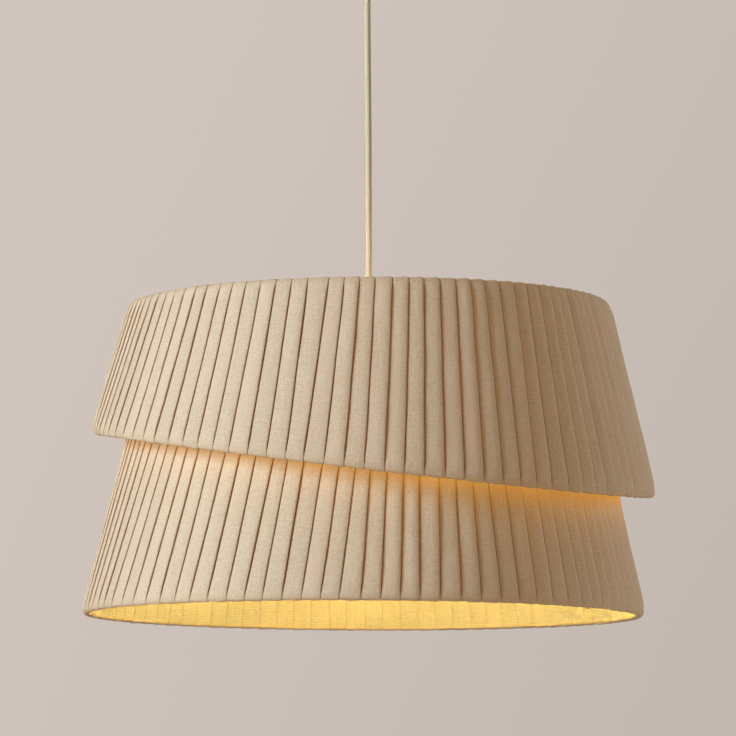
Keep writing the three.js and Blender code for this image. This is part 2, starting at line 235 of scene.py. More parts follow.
def cord_material(name="braided_cord"):
    """Cotton braid round a 5 mm cord: two crossing sets of yarn."""
    t = Tree(name)
    x, y, z = t.split(t.object_coords())
    turn = t.math("MULTIPLY", t.math("ARCTAN2", y, x), 8.0)
    climb = t.math("MULTIPLY", z, 2 * math.pi / 0.0042 * 4)
    one = t.math("SINE", t.math("ADD", turn, climb))
    two = t.math("SINE", t.math("SUBTRACT", turn, climb))
    weave = t.math("MULTIPLY", one, two)
    fine = t.noise(t.object_coords(), 900.0, 3.0)
    tone = t.math("ADD", t.math("MULTIPLY", weave, 0.22), fine)
    t.link(t.ramp(tone, [(0.25, srgb(228, 208, 178)), (0.55, srgb(246, 230, 204)), (0.8, srgb(254, 244, 224))]),
           t.bsdf.inputs["Base Color"])
    t.link(t.bump(t.math("ADD", weave, fine), 0.00007, 0.5), t.bsdf.inputs["Normal"])
    # the lit shade below throws warm light on its last few centimetres
    warm = t.spread(z, -0.190, -0.298, 0.0, 1.0)
    t.link(t.mix(warm, (0.010, 0.006, 0.003, 1), (0.20, 0.105, 0.028, 1)), t.bsdf.inputs["Emission Color"])
    t.bsdf.inputs["Emission Strength"].default_value = 1.0
    t.link(t.spread(fine, 0.3, 0.7, 0.75, 0.95), t.bsdf.inputs["Roughness"])
    t.bsdf.inputs["Sheen Weight"].default_value = 0.15
    return t.mat


def plastic_material(name, light, dark, rough=0.42, coat=0.0):
    """Moulded plastic: faint tone drift, fine mould texture, soft polish marks."""
    t = Tree(name)
    p = t.object_coords()
    drift = t.noise(p, 38.0, 3.0)
    grain = t.noise(p, 2600.0, 2.0)
    wipe = t.noise(p, 260.0, 4.0, 0.65)
    t.link(t.ramp(t.math("ADD", t.math("MULTIPLY", drift, 0.8), t.math("MULTIPLY", wipe, 0.2)),
                  [(0.35, dark), (0.65, light)]), t.bsdf.inputs["Base Color"])
    t.link(t.spread(wipe, 0.3, 0.7, rough - 0.08, rough + 0.1), t.bsdf.inputs["Roughness"])
    t.link(t.bump(grain, 0.00003, 0.5), t.bsdf.inputs["Normal"])
    t.bsdf.inputs["Coat Weight"].default_value = coat
    return t.mat


def paint_material():
    """Thick cream lacquer on drawn wire: orange peel and a few chips of grey."""
    t = Tree("wire_lacquer")
    p = t.object_coords()
    drift = t.noise(p, 60.0, 3.0)
    peel = t.noise(p, 1500.0, 2.0)
    chips = t.noise(p, 420.0, 5.0, 0.7)
    base = t.ramp(drift, [(0.35, srgb(226, 218, 200)), (0.65, srgb(240, 235, 222))])
    colour = t.mix(t.ramp(chips, [(0.70, (0, 0, 0)), (0.74, (1, 1, 1))]), base, srgb(128, 122, 112))
    t.link(colour, t.bsdf.inputs["Base Color"])
    t.link(t.spread(peel, 0.3, 0.7, 0.32, 0.5), t.bsdf.inputs["Roughness"])
    t.link(t.bump(peel, 0.00004, 0.6), t.bsdf.inputs["Normal"])
    t.bsdf.inputs["Coat Weight"].default_value = 0.15
    return t.mat


def metal_material(name, light, dark, rough):
    """Turned or drawn metal: fine lines round the axis and dull patches."""
    t = Tree(name)
    x, y, z = t.split(t.object_coords())
    lines = t.noise(t.vector(t.math("MULTIPLY", x, 0.15), t.math("MULTIPLY", y, 0.15), z), 5200.0, 2.0)
    dull = t.noise(t.object_coords(), 180.0, 4.0, 0.6)
    t.link(t.ramp(t.math("ADD", t.math("MULTIPLY", lines, 0.45), t.math("MULTIPLY", dull, 0.55)),
                  [(0.35, dark), (0.62, light)]), t.bsdf.inputs["Base Color"])
    t.bsdf.inputs["Metallic"].default_value = 1.0
    t.link(t.spread(dull, 0.3, 0.7, rough - 0.08, rough + 0.14), t.bsdf.inputs["Roughness"])
    t.link(t.bump(lines, 0.00002, 0.5), t.bsdf.inputs["Normal"])
    return t.mat


def opal_material():
    """Lit opal dome, a little dimmer where it meets the housing."""
    t = Tree("opal_lit")
    p = t.object_coords()
    _, _, z = t.split(p)
    cloud = t.noise(p, 90.0, 3.0)
    t.link(t.ramp(cloud, [(0.3, srgb(250, 240, 220)), (0.7, srgb(255, 248, 236))]), t.bsdf.inputs["Base Color"])
    t.link(t.spread(cloud, 0.3, 0.7, 0.25, 0.4), t.bsdf.inputs["Roughness"])
    t.link(t.bump(cloud, 0.00003, 0.3), t.bsdf.inputs["Normal"])
    t.bsdf.inputs["Emission Color"].default_value = BULB_COLOUR
    glow = t.spread(z, -0.413, -0.427, 0.8, 1.0)
    t.link(t.math("MULTIPLY", glow, BULB_STRENGTH), t.bsdf.inputs["Emission Strength"])
    return t.mat


BULB_COLOUR = (1.0, 0.662, 0.149, 1.0)
BULB_STRENGTH = 121.0
FACE_LOW = (0.575, 0.545, 0.455, 1.0)
FACE_MID = (0.660, 0.630, 0.530, 1.0)
FACE_HIGH = (0.735, 0.705, 0.605, 1.0)
# painted glow colours: light through the cloth, amber spill between the tiers, warm trace in the tucks
THROUGH = (0.169, 0.068, 0.009, 1.0)
SPILL = (0.350, 0.139, 0.005, 1.0)
CREVICE_GLOW = (0.052, 0.017, 0.004, 1.0)

CLOTH = cloth_material()
CORD_CLOTH = cord_material()
LACQUER = paint_material()
CREAM = plastic_material("cream_moulding", srgb(242, 236, 224), srgb(230, 222, 206), 0.42)
WHITE = plastic_material("white_moulding", srgb(246, 244, 238), srgb(236, 232, 222), 0.34, 0.1)
PORCELAIN = plastic_material("glazed_porcelain", srgb(244, 241, 233), srgb(234, 229, 216), 0.24, 0.35)
BLACK_GLASS = plastic_material("black_glass", srgb(34, 32, 36), srgb(16, 15, 18), 0.22, 0.4)
CORE_BROWN = plastic_material("core_brown", srgb(116, 70, 40), srgb(92, 54, 30), 0.45)
CORE_BLUE = plastic_material("core_blue", srgb(58, 104, 164), srgb(40, 84, 142), 0.45)
BRASS = metal_material("brass", (0.72, 0.52, 0.22, 1), (0.52, 0.35, 0.14, 1), 0.32)
STEEL = metal_material("steel", (0.56, 0.56, 0.57, 1), (0.38, 0.38, 0.39, 1), 0.34)
ALUMINIUM = metal_material("aluminium", (0.70, 0.71, 0.72, 1), (0.52, 0.53, 0.54, 1), 0.38)
OPAL = opal_material()


# ------------------------------------------------------------ mesh helpers
def lean(x, y, z):
    """The cloth tiers hang a little askew on their frame: the top rim is a
    touch higher on the right, and the lower rim sits a little to the left."""
    r = math.hypot(x, y)
    w = min(1.0, max(0.0, (r - 45.0) / 125.0))
    w = w * w * (3 - 2 * w)
    up = min(1.0, max(0.0, (z + 440.0) / 127.0))
    return (x + w * (0.0131 * (z + 435.0) - 0.2), y, z + w * 0.0095 * x * up)


def mesh_piece(name, points, faces, material, body, replaces=(), smooth=True, angle=38.0):
    me = bpy.data.meshes.new(name)
    me.from_pydata([(p[0] * MM, p[1] * MM, p[2] * MM) for p in points], [], faces)
    me.validate()
    me.update()
    me.materials.append(material)
    ob = bpy.data.objects.new(name, me)
    bpy.context.collection.objects.link(ob)
    if smooth:
        me.shade_smooth()
        me.set_sharp_from_angle(angle=math.radians(angle))
    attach(ob, body)
    if replaces:
        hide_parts(*replaces)
    return ob


def soften(profile, radius, steps=3, closed=True):
    """Rounds the corners of a [radius, height] outline."""
    out = []
    n = len(profile)
    for i, p in enumerate(profile):
        if not closed and i in (0, n - 1):
            out.append(tuple(p))
            continue
        a = Vector(profile[i - 1]) - Vector(p)
        b = Vector(profile[(i + 1) % n]) - Vector(p)
        if a.length < 1e-6 or b.length < 1e-6:
            out.append(tuple(p))
            continue
        turn = a.angle(b)
        if turn > math.radians(165) or p[0] < 1e-6:
            out.append(tuple(p))
            continue
        cut = min(radius / math.tan(turn / 2), 0.45 * a.length, 0.45 * b.length)
        pa = Vector(p) + a.normalized() * cut
        pb = Vector(p) + b.normalized() * cut
        for s in range(steps + 1):
            f = s / steps
            q = pa * (1 - f) ** 2 + Vector(p) * 2 * f * (1 - f) + pb * f * f
            out.append((q[0], q[1]))
    return out


def lathe(profile, around=96, shape=None):
    """Turned about Z. A profile that starts and ends on the axis closes there;
    any other is a closed outline. shape(radius, height, angle) may change a
    radius on the way round."""
    on_axis = profile[0][0] < 1e-6 and profile[-1][0] < 1e-6
    points, faces = [], []
    rows = []
    for r, z in profile:
        if r < 1e-6:
            rows.append([len(points)])
            points.append((0.0, 0.0, z))
            continue
        row = []
        for j in range(around):
            a = 2 * math.pi * j / around
            rr = shape(r, z, a) if shape else r
            row.append(len(points))
            points.append((rr * math.cos(a), rr * math.sin(a), z))
        rows.append(row)
    pairs = list(zip(rows, rows[1:]))
    if not on_axis:
        pairs.append((rows[-1], rows[0]))
    for a, b in pairs:
        if len(a) == 1 and len(b) == 1:
            continue
        for j in range(around):
            k = (j + 1) % around
            if len(a) == 1:
                faces.append((a[0], b[k], b[j]))
            elif len(b) == 1:
                faces.append((a[j], a[k], b[0]))
            else:
                faces.append((a[j], a[k], b[k], b[j]))
    return points, outwards(points, faces)


def outwards(points, faces):
    volume = 0.0
    for f in faces:
        a = Vector(points[f[0]])
        for i in range(1, len(f) - 1):
            volume += a.dot(Vector(points[f[i]]).cross(Vector(points[f[i + 1]])))
    return [tuple(reversed(f)) for f in faces] if volume < 0 else faces


def smooth_path(route, step):
    """Centripetal Catmull-Rom through the route, evenly stepped."""
    p = [Vector(q) for q in route]
    p = [p[0] * 2 - p[1]] + p + [p[-1] * 2 - p[-2]]
    dense = []
    for i in range(1, len(p) - 2):
        a, b, c, d = p[i - 1:i + 3]
        t0 = 0.0
        t1 = t0 + max(1e-6, (b - a).length) ** 0.5
        t2 = t1 + max(1e-6, (c - b).length) ** 0.5
        t3 = t2 + max(1e-6, (d - c).length) ** 0.5
        for s in range(24):
            t = t1 + (t2 - t1) * s / 24
            a1 = a * ((t1 - t) / (t1 - t0)) + b * ((t - t0) / (t1 - t0))
            a2 = b * ((t2 - t) / (t2 - t1)) + c * ((t - t1) / (t2 - t1))
            a3 = c * ((t3 - t) / (t3 - t2)) + d * ((t - t2) / (t3 - t2))
            b1 = a1 * ((t2 - t) / (t2 - t0)) + a2 * ((t - t0) / (t2 - t0))
            b2 = a2 * ((t3 - t) / (t3 - t1)) + a3 * ((t - t1) / (t3 - t1))
            dense.append(b1 * ((t2 - t) / (t2 - t1)) + b2 * ((t - t1) / (t2 - t1)))
    dense.append(p[-2])
    total = sum((b - a).length for a, b in zip(dense, dense[1:]))
    count = max(2, round(total / step))
    out, walked, want = [dense[0]], 0.0, total / count
    for a, b in zip(dense, dense[1:]):
        seg = (b - a).length
        while walked + seg >= want * len(out) - 1e-9 and len(out) < count:
            f = (want * len(out) - walked) / seg
            out.append(a.lerp(b, f))
        walked += seg
    out.append(dense[-1])
    return out


def rod(path, radius, sides=14, closed=False, warp=lean, width=None):
    """Round bar along a path, its ends domed. width(i, n) scales it."""
    path = [Vector(q) for q in path]
    n = len(path)
    points, faces = [], []
    tangent = []
    for i in range(n):
        if closed:
            t = path[(i + 1) % n] - path[i - 1]
        else:
            t = path[min(i + 1, n - 1)] - path[max(i - 1, 0)]
        tangent.append(t.normalized())
    side = tangent[0].orthogonal().normalized()
    if closed:
        side = Vector((0, 0, 1))
    rings = []

    def ring_at(centre, t, s, r):
        other = t.cross(s).normalized()
        row = []
        for k in range(sides):
            a = 2 * math.pi * k / sides
            q = centre + s * (r * math.cos(a)) + other * (r * math.sin(a))
            row.append(len(points))
            points.append(warp(*q) if warp else tuple(q))
        return row

    for i in range(n):
        t = tangent[i]
        side = (side - t * side.dot(t)).normalized()
        r = radius * (width(i, n) if width else 1.0)
        if not closed and i == 0:
            for f in (75, 50, 25):
                a = math.radians(f)
                rings.append(ring_at(path[0] + t * (radius * 0.45 * (1 - math.sin(a))), t, side, r * math.cos(a)))
        rings.append(ring_at(path[i] if closed or 0 < i < n - 1 else path[i] + t * (radius * 0.45 * (1 if i == 0 else -1)), t, side, r))
        if not closed and i == n - 1:
            for f in (25, 50, 75):
                a = math.radians(f)
                rings.append(ring_at(path[i] - t * (radius * 0.45 * (1 - math.sin(a))), t, side, r * math.cos(a)))
    pairs = list(zip(rings, rings[1:]))
    if closed:
        pairs.append((rings[-1], rings[0]))
    for a, b in pairs:
        for k in range(sides):
            m = (k + 1) % sides
            faces.append((a[k], a[m], b[m], b[k]))
    if not closed:
        faces.append(tuple(reversed(rings[0])))
        faces.append(tuple(rings[-1]))
    return points, outwards(points, faces)


# ------------------------------------------------------------ sizes, as in the CAD
DROP = 560.0
ROLL_R, CAVITY_R, WIRE_R = 2.6, 1.85, 1.5
SLOT_FROM, SLOT_TO = 1.3, 5.9
WIRE_DEPTH = 3.55


class Tier:
    def __init__(self, top_r, top_z, slope):
        l = math.hypot(slope, 1)
        self.along = (slope / l, -1 / l)
        self.out = (1 / l, slope / l)
        s = (ROLL_R - ROLL_R * self.out[1]) / -self.along[1]
        self.top = (top_r + self.along[0] * s - ROLL_R * self.out[0], top_z - ROLL_R)

    def at(self, d, o=0.0):
        return (self.top[0] + self.along[0] * d + self.out[0] * o,
                self.top[1] + self.along[1] * d + self.out[1] * o)

    def at3(self, degrees, d, o=0.0):
        r, z = self.at(d, o)
        a = math.radians(degrees)
        return (r * math.cos(a), r * math.sin(a), z)


upper = Tier(193.5, 249.5 - DROP, 0.257)
lower = Tier(225 - 0.2366 * 175, 175 - DROP, 0.2366)


def upper_length(a):
    """Top ring to slanted rim ring down the wall; a is from +X towards +Y."""
    k = -0.1103 * math.cos(a) + 0.1046 * math.sin(a)
    d = 100.0
    for _ in range(30):
        r = upper.at(d)[0]
        z = 122.7 - DROP + k * (r + ROLL_R * 0.9) + ROLL_R * 1.02
        d = (upper.top[1] - z) / -upper.along[1]
    return d


def lower_length(a):
    return (lower.top[1] - (-DROP + ROLL_R)) / -lower.along[1]


upper.length = upper_length
lower.length = lower_length

# ------------------------------------------------------------ the cord
# Straight down from the rose's grip to the lampholder's nipple, with the
# shade's weight on it.
cord_top, cord_end = -45.2, -297.0
SWAY = [(0.0, 0.0), (0.05, -0.15), (0.22, 0.3), (0.35, 0.75), (0.5, 1.25), (0.65, 1.5), (0.85, 1.9),
        (0.95, 1.9), (1.0, 1.2)]


def lookup(table, x):
    for (x0, y0), (x1, y1) in zip(table, table[1:]):
        if x <= x1:
            return y0 + (y1 - y0) * (x - x0) / (x1 - x0)
    return table[-1][1]


cord_curve = bpy.data.curves.new("hanging_cord", "CURVE")
cord_curve.dimensions = "3D"
cord_curve.bevel_depth = 2.5 * MM
cord_curve.bevel_resolution = 8
cord_curve.resolution_u = 6
spline = cord_curve.splines.new("NURBS")
count = 20
spline.points.add(count - 1)
for i in range(count):
    f = i / (count - 1)
    sway = lookup(SWAY, f)
    z = cord_top + (cord_end - cord_top) * f
    spline.points[i].co = (sway * MM, 0.1 * sway * MM, z * MM, 1.0)
spline.order_u = 4
spline.use_endpoint_u = True
cord_curve.materials.append(CORD_CLOTH)
cord = bpy.data.objects.new("hanging_cord", cord_curve)
bpy.context.collection.objects.link(cord)
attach(cord, "cord")
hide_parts("pendant_cord")

# ------------------------------------------------------------ pleated covers
# One strip of the pleating, seen in plan: distance right of the edge of the
# strip before it (a share of the strip, plus millimetres), height above the wall
# (a share of the folded edge's height, plus millimetres) and how much painted
# crevice shade it gets. A strip comes out from under the folded right edge of the
# one before, rises in a low crown and ends in its own folded edge, which stands
# over the next strip.
STRIP = [
    # share, mm, of height, mm, painted crevice shade
    (0.00, -1.70, 0.00, -0.46, 1.00),
    (0.00, -0.35, 0.00, -0.42, 1.00),
    (0.00, 0.22, 0.00, -0.38, 1.00),
    (0.00, 0.55, 0.00, -0.24, 0.60),
    (0.00, 0.88, 0.08, -0.06, 0.12),
    (0.00, 1.50, 0.18, 0.00, 0.00),
    (0.19, 0.00, 0.29, 0.00, 0.00),
    (0.30, 0.00, 0.44, 0.00, 0.00),
    (0.42, 0.00, 0.61, 0.00, 0.00),
    (0.54, 0.00, 0.78, 0.00, 0.00),
    (0.66, 0.00, 0.92, 0.00, 0.00),
    (0.77, 0.00, 1.00, 0.00, 0.00),
    (1.00, -2.10, 1.00, 0.00, 0.00),
    (1.00, -1.10, 0.95, 0.00, 0.00),
    (1.00, -0.42, 0.87, -0.02, 0.03),
    (1.00, -0.02, 0.74, -0.06, 0.12),
    (1.00, 0.10, 0.52, -0.14, 0.70),
    (1.00, -0.30, 0.33, -0.26, 1.00),
    (1.00, -1.70, 0.00, -0.36, 1.00),
]

# Where the folded edges lie on the side towards the front, in degrees from the
# front, positive to the right: at the top ring and at the lower ring.
UPPER_EDGES = [
    (-70.5, -76.2), (-67.5, -72.9), (-64.8, -69.3), (-61.4, -65.7), (-57.9, -61.9), (-54.4, -58.0),
    (-50.9, -54.1), (-47.4, -50.2), (-43.6, -46.5), (-40.1, -42.3), (-36.2, -38.4), (-32.7, -34.6),
    (-29.0, -30.8), (-25.2, -27.1), (-21.4, -23.0), (-17.6, -19.1), (-13.8, -15.2), (-9.0, -11.7),
    (-5.4, -7.7), (-1.9, -3.9), (1.6, -0.1), (5.5, 3.7), (9.3, 7.4), (12.7, 11.2), (16.4, 15.1),
    (20.2, 18.9), (23.8, 22.8), (27.4, 26.7), (31.3, 30.5), (35.3, 34.0), (39.0, 37.6), (42.8, 41.8),
    (46.3, 45.8), (49.6, 49.7), (52.8, 53.3), (56.0, 57.0), (59.4, 60.7), (62.9, 64.5), (66.4, 68.3),
    (69.9, 72.1)]
LOWER_EDGES = [     # the first of each pair is half way down the wall
    (-72.0, -75.5), (-68.2, -71.8), (-64.6, -67.8), (-60.9, -64.4), (-57.1, -60.7), (-53.3, -56.4),
    (-49.4, -52.3), (-45.6, -48.2), (-41.7, -44.0), (-37.7, -39.9), (-33.7, -36.1), (-29.6, -31.8),
    (-25.5, -27.5), (-21.2, -23.6), (-17.7, -19.8), (-13.9, -15.8), (-9.8, -11.9), (-6.0, -8.1),
    (-2.4, -4.5), (1.0, -0.3), (4.6, 3.5), (8.2, 7.3), (11.7, 11.1), (16.0, 15.1), (19.9, 19.4),
    (23.8, 23.6), (27.6, 27.9), (31.9, 32.1), (36.0, 36.3), (40.3, 40.5), (44.3, 44.7), (48.1, 48.9),
    (51.7, 52.4), (55.3, 56.0), (58.8, 59.5), (62.4, 63.3), (65.9, 67.1), (69.5, 70.9), (73.1, 74.7)]
LOWER_EDGES = [(2 * m - b, b) for m, b in LOWER_EDGES]


def all_edges(seen, strips, rng):
    """The seen edges, and as many again round the back as make up the count."""
    rest = strips - len(seen)
    out = [(a - 0.08, b - 0.08) for a, b in seen]
    (a0, b0), (a1, b1) = out[-1], (out[0][0] + 360.0, out[0][1] + 360.0)
    for i in range(1, rest + 1):
        f = i / (rest + 1)
        j = rng.uniform(-0.14, 0.14)
        out.append((a0 + (a1 - a0) * f + j, b0 + (b1 - b0) * f + j))
    return [(math.radians(a), math.radians(b)) for a, b in out]


def pleated_cover(name, tier, strips, seen, seed, replaces):
    rng = random.Random(seed)
    pitch = 2 * math.pi / strips
    edges = all_edges(seen, strips, rng)
    tall = [rng.uniform(1.25, 1.95) for _ in range(strips)]
    tint = [rng.random() for _ in range(strips)]
    lift = [max(0.0, rng.gauss(0.35, 0.45)) for _ in range(strips)]
    wander = [rng.uniform(0, 1000) for _ in range(strips)]

    def edge_at(k, d):
        at_top, at_rim = edges[k % strips]
        whole = tier.length(at_rim - math.pi / 2)
        f = min(1.02, max(-0.02, d / whole))
        base = at_top + (at_rim - at_top) * f + (2 * math.pi if k >= strips else 0.0)
        w = noise.noise(Vector((wander[k % strips], d * 0.022, 0.0)))
        return base + 0.35 * w / tier.at(d)[0]

    # rows of the section: (where along the wall, depth, direction, share of the
    # pleat's height, distance to the nearer rim, side)
    def rows_at(length):
        rows = []
        near = [1.2, 3.0, 5.5, 9.0]
        middle = 15

        def wall(side):
            ds = [0.0] + near + [9.0 + (length - 18.0) * i / middle for i in range(1, middle)] \
                + [length - q for q in reversed(near)] + [length]
            return ds

        def rim_share(dist):
            f = min(1.0, max(0.0, dist / 9.0))
            return 0.42 + 0.58 * f * f * (3 - 2 * f)

        inner = [SLOT_TO] + [d for d in wall(-1) if d > SLOT_TO + 1.0 and d < length - 0.01]
        for d in inner:
            rows.append((d, -ROLL_R, 0.0, -1.0, 0.3 * rim_share(min(length - d, 9.0 if d > 12 else d)), min(d, length - d)))
        for i in range(7):                       # round the lower ring
            f = math.pi - math.pi * i / 6
            rows.append((length + ROLL_R * math.sin(f), ROLL_R * math.cos(f), math.sin(f), math.cos(f), 0.36, 0.0))
        for d in reversed([d for d in wall(1) if 0.01 < d < length - 0.01]):
            rows.append((d, ROLL_R, 0.0, 1.0, rim_share(min(d, length - d)), min(d, length - d)))
        for i in range(7):                       # round the top ring
            f = math.pi * i / 6
            rows.append((-ROLL_R * math.sin(f), ROLL_R * math.cos(f), -math.sin(f), math.cos(f), 0.36, 0.0))
        rows.append((SLOT_FROM, -ROLL_R, 0.0, -1.0, 0.3, 0.0))
        # back along the hollow side, smooth
        rows.append((SLOT_FROM, -CAVITY_R, 0.0, -1.0, None, 0.0))
        for i in range(5):
            f = math.pi - math.pi * i / 4
            rows.append((-CAVITY_R * math.sin(f), CAVITY_R * math.cos(f), 0.0, 0.0, None, 0.0))
        for i in range(1, 10):
            rows.append((length * i / 10, CAVITY_R, 0.0, 0.0, None, 0.0))
        for i in range(5):
            f = math.pi * i / 4
            rows.append((length + CAVITY_R * math.sin(f), CAVITY_R * math.cos(f), 0.0, 0.0, None, 0.0))
        for i in range(9, 0, -1):
            if i > 1:
                rows.append((length * i / 10, -CAVITY_R, 0.0, 0.0, None, 0.0))
        rows.append((SLOT_TO, -CAVITY_R, 0.0, 0.0, None, 0.0))
        return rows

    m = len(STRIP)
    columns = strips * m
    grid = []
    n_rows = len(rows_at(tier.length(0.0)))
    count_v = columns * n_rows
    points = [None] * count_v
    uvs = [None] * count_v
    crevice_shades = [0.0] * count_v
    tints = [0.0] * count_v
    rims = [0.0] * count_v
    throughs = [0.0] * count_v
    spills = [0.0] * count_v
    for k in range(strips):
        for i, (share, mm, part, flat_mm, dark) in enumerate(STRIP):
            col = k * m + i
            # the rows belong to the angle of this column
            mid = edges[k][1] + pitch * min(1.0, max(0.0, share + mm / 14.0))
            theta = mid - math.pi / 2            # from +X towards +Y
            length = tier.length(theta)
            # the tucks are looser on the right than on the left
            side = math.sin(mid)
            loose = 1.0 + 1.1 * min(1.0, max(0.0, side / 0.5)) - 0.2 * min(1.0, max(0.0, (-side - 0.2) / 0.3)) \
                - 0.3 * min(1.0, max(0.0, (-side - 0.6) / 0.35))
            # the painted crevice shade is weaker on the far left, where the light reaches further into the tucks
            deep = 1.0 - 0.38 * min(1.0, max(0.0, (-side - 0.25) / 0.55))
            high = 1.0 + 0.3 * min(1.0, max(0.0, (side - 0.55) / 0.35))
            if i in (2, 3, 4):
                mm *= loose
            elif i == 5:
                mm = max(mm, 0.88 * loose + 0.5)
            for j, (d, o, nd, no, fade, near) in enumerate(rows_at(length)):
                r = tier.at(d)[0]
                e0, e1 = edge_at(k, d), edge_at(k + 1, d)
                w = (e1 - e0) * r
                scale = w / 15.0
                if fade is None:
                    f = (i + 0.5) / m
                    u = f * w
                    h = 0.0
                else:
                    u = share * w + mm * scale
                    top = tall[k] * (1 + 0.25 * noise.noise(Vector((wander[k] + 50, d * 0.03, 0))))
                    h = part * top * high + flat_mm
                    s = u / w
                    if 0.25 < s < 0.95:
                        h += lift[k] * 0.25 * math.sin(math.pi * (s - 0.25) / 0.70)
                    # cloth drawn in by its gathers beside a rim
                    if near < 11.0 and 0.03 < s < 0.93:
                        pull = (1 - near / 11.0) ** 1.5
                        h += pull * 0.22 * math.sin(2 * math.pi * (3.0 * s + wander[k]))
                        h += pull * 0.32 * math.sin(math.pi * s)
                    h *= fade
                    # the edge hooks to the right in the last few millimetres
                    if near < 4.0:
                        u += 0.9 * (1 - near / 4.0) ** 2 * math.sin(math.pi * min(1.0, max(0.0, 1.0 - abs(s - 0.02))))
                phi = e0 + u / r
                if fade is not None:
                    rr, z = tier.at(d + nd * h, o + no * h)
                else:
                    rr, z = tier.at(d, o)
                x, y = rr * math.sin(phi), -rr * math.cos(phi)
                idx = j * columns + col
                points[idx] = lean(x, y, z)
                uvs[idx] = (u + 40.0 * k, d if o > 0 else -d)
                # painted crevice shade: from the strip table, 0.3 on the hollow side, fading towards the rims and weak
                # on the inner face
                crevice_shades[idx] = (dark if fade is not None else 0.3)
                if fade is not None and near < 4.5:
                    crevice_shades[idx] = dark * (0.22 + 0.78 * near / 4.5)
                if fade is not None:
                    crevice_shades[idx] *= 0.14 if o < 0 else deep
                # painted glow: light coming through the cloth on the outer face and round the rings, and on the lower
                # tier an amber band just below the upper tier's slanted rim, stronger on the right
                outside = fade is not None and o > 0.5
                throughs[idx] = 1.0 if outside else (0.55 if fade is not None and near == 0.0 else 0.0)
                if outside and tier is lower:
                    k_slant = -0.1103 * math.sin(phi) - 0.1046 * math.cos(phi)
                    below = (-437.3 + k_slant * 222.0) - z
                    spills[idx] = (0.8 + 0.21 * math.sin(phi)) * (
                        0.86 * math.exp(-below / 11.5) + 0.32 * math.exp(-below / 2.5) if below > 0
                        else math.exp(below / 60.0))
                tints[idx] = tint[k]
                rims[idx] = max(0.0, 1 - near / 3.0) if fade is not None else 0.0
    faces = []
    for j in range(n_rows):
        j2 = (j + 1) % n_rows
        for c in range(columns):
            c2 = (c + 1) % columns
            faces.append((j * columns + c, j * columns + c2, j2 * columns + c2, j2 * columns + c))
    faces = outwards(points, faces)
    ob = mesh_piece(name, points, faces, CLOTH, "shade", replaces, angle=50.0)
    me = ob.data
    layer = me.uv_layers.new(name="cloth")
    loop_vertex = [0] * len(me.loops)
    me.loops.foreach_get("vertex_index", loop_vertex)
    flat = []
    for vi in loop_vertex:
        flat.extend(uvs[vi])
    layer.data.foreach_set("uv", flat)
    for label, values in (("crevice_shade", crevice_shades), ("strip", tints), ("rim", rims),
                          ("through", throughs), ("spill", spills)):
        att = me.attributes.new(label, "FLOAT", "POINT")
        att.data.foreach_set("value", values)
    return ob


upper_pleats = pleated_cover("upper_pleats", upper, 95, UPPER_EDGES, 11, ["upper_cover"])
lower_pleats = pleated_cover("lower_pleats", lower, 90, LOWER_EDGES, 23, ["lower_cover"])

# ------------------------------------------------------------ the wire frame
STRUTS = (0, 60, 120, 180, 240, 300)


def ring_path(tier, distance, count=180):
    out = []
    for i in range(count):
        a = 2 * math.pi * i / count
        r, z = tier.at(distance(a))
        out.append((r * math.cos(a), r * math.sin(a), z))
    return out


for label, tier in (("upper", upper), ("lower", lower)):
    pts, fcs = rod(ring_path(tier, lambda a: 0.0), WIRE_R, 12, closed=True)
    mesh_piece(f"{label}_top_wire", pts, fcs, LACQUER, "shade", [f"{label}_top_ring"])
    pts, fcs = rod(ring_path(tier, tier.length), WIRE_R, 12, closed=True)
    mesh_piece(f"{label}_rim_wire", pts, fcs, LACQUER, "shade", [f"{label}_rim_ring"])
    for i, degrees in enumerate(STRUTS):
        length = tier.length(math.radians(degrees))
        end = WIRE_R + 0.3 + (0.25 if tier is upper else 0.0)
        a, b = WIRE_R + 0.3, length - end
        path = [tier.at3(degrees, a + (b - a) * s / 12) for s in range(13)]
        pts, fcs = rod(path, WIRE_R, 12)
        mesh_piece(f"{label}_upright_{i + 1}", pts, fcs, LACQUER, "shade", [f"{label}_strut_{i + 1}"])

FITTER_TOP, FITTER_THICK, FITTER_IN, FITTER_OUT = -340.3, 2.0, 20.6, 30.0
pts, fcs = lathe(soften([
    (FITTER_IN, FITTER_TOP), (FITTER_OUT, FITTER_TOP),
    (FITTER_OUT, FITTER_TOP - FITTER_THICK), (FITTER_IN, FITTER_TOP - FITTER_THICK)], 0.5), 128)
mesh_piece("fitter_plate", pts, fcs, LACQUER, "shade", ["fitter_ring"])

for i, degrees in enumerate((90, 210, 330)):
    a = math.radians(degrees)
    start = Vector(((FITTER_OUT + 0.3) * math.cos(a), (FITTER_OUT + 0.3) * math.sin(a), FITTER_TOP - FITTER_THICK / 2))
    end = Vector(upper.at3(degrees, WIRE_DEPTH, 0.4))
    path = [start.lerp(end, s / 24) for s in range(25)]
    pts, fcs = rod(path, WIRE_R, 16)
    mesh_piece(f"spider_wire_{i + 1}", pts, fcs, LACQUER, "shade", [f"spider_arm_{i + 1}"])

for i, degrees in enumerate((30, 150, 270)):
    route = [
        upper.at3(degrees, WIRE_DEPTH, 0.6), upper.at3(degrees, WIRE_DEPTH, -2.4),
        upper.at3(degrees, WIRE_DEPTH + 1.4, -6.0), upper.at3(degrees, WIRE_DEPTH + 8, -10.0),
        lower.at3(degrees, -30, -8.6), lower.at3(degrees, -9, -8.8),
        lower.at3(degrees, WIRE_DEPTH - 3.6, -8.0), lower.at3(degrees, WIRE_DEPTH - 0.6, -5.6),
        lower.at3(degrees, WIRE_DEPTH, -2.4), lower.at3(degrees, WIRE_DEPTH, 0.6)]
    pts, fcs = rod(smooth_path(route, 1.6), WIRE_R, 16)
    mesh_piece(f"hanger_wire_{i + 1}", pts, fcs, LACQUER, "shade", [f"bridge_wire_{i + 1}"])

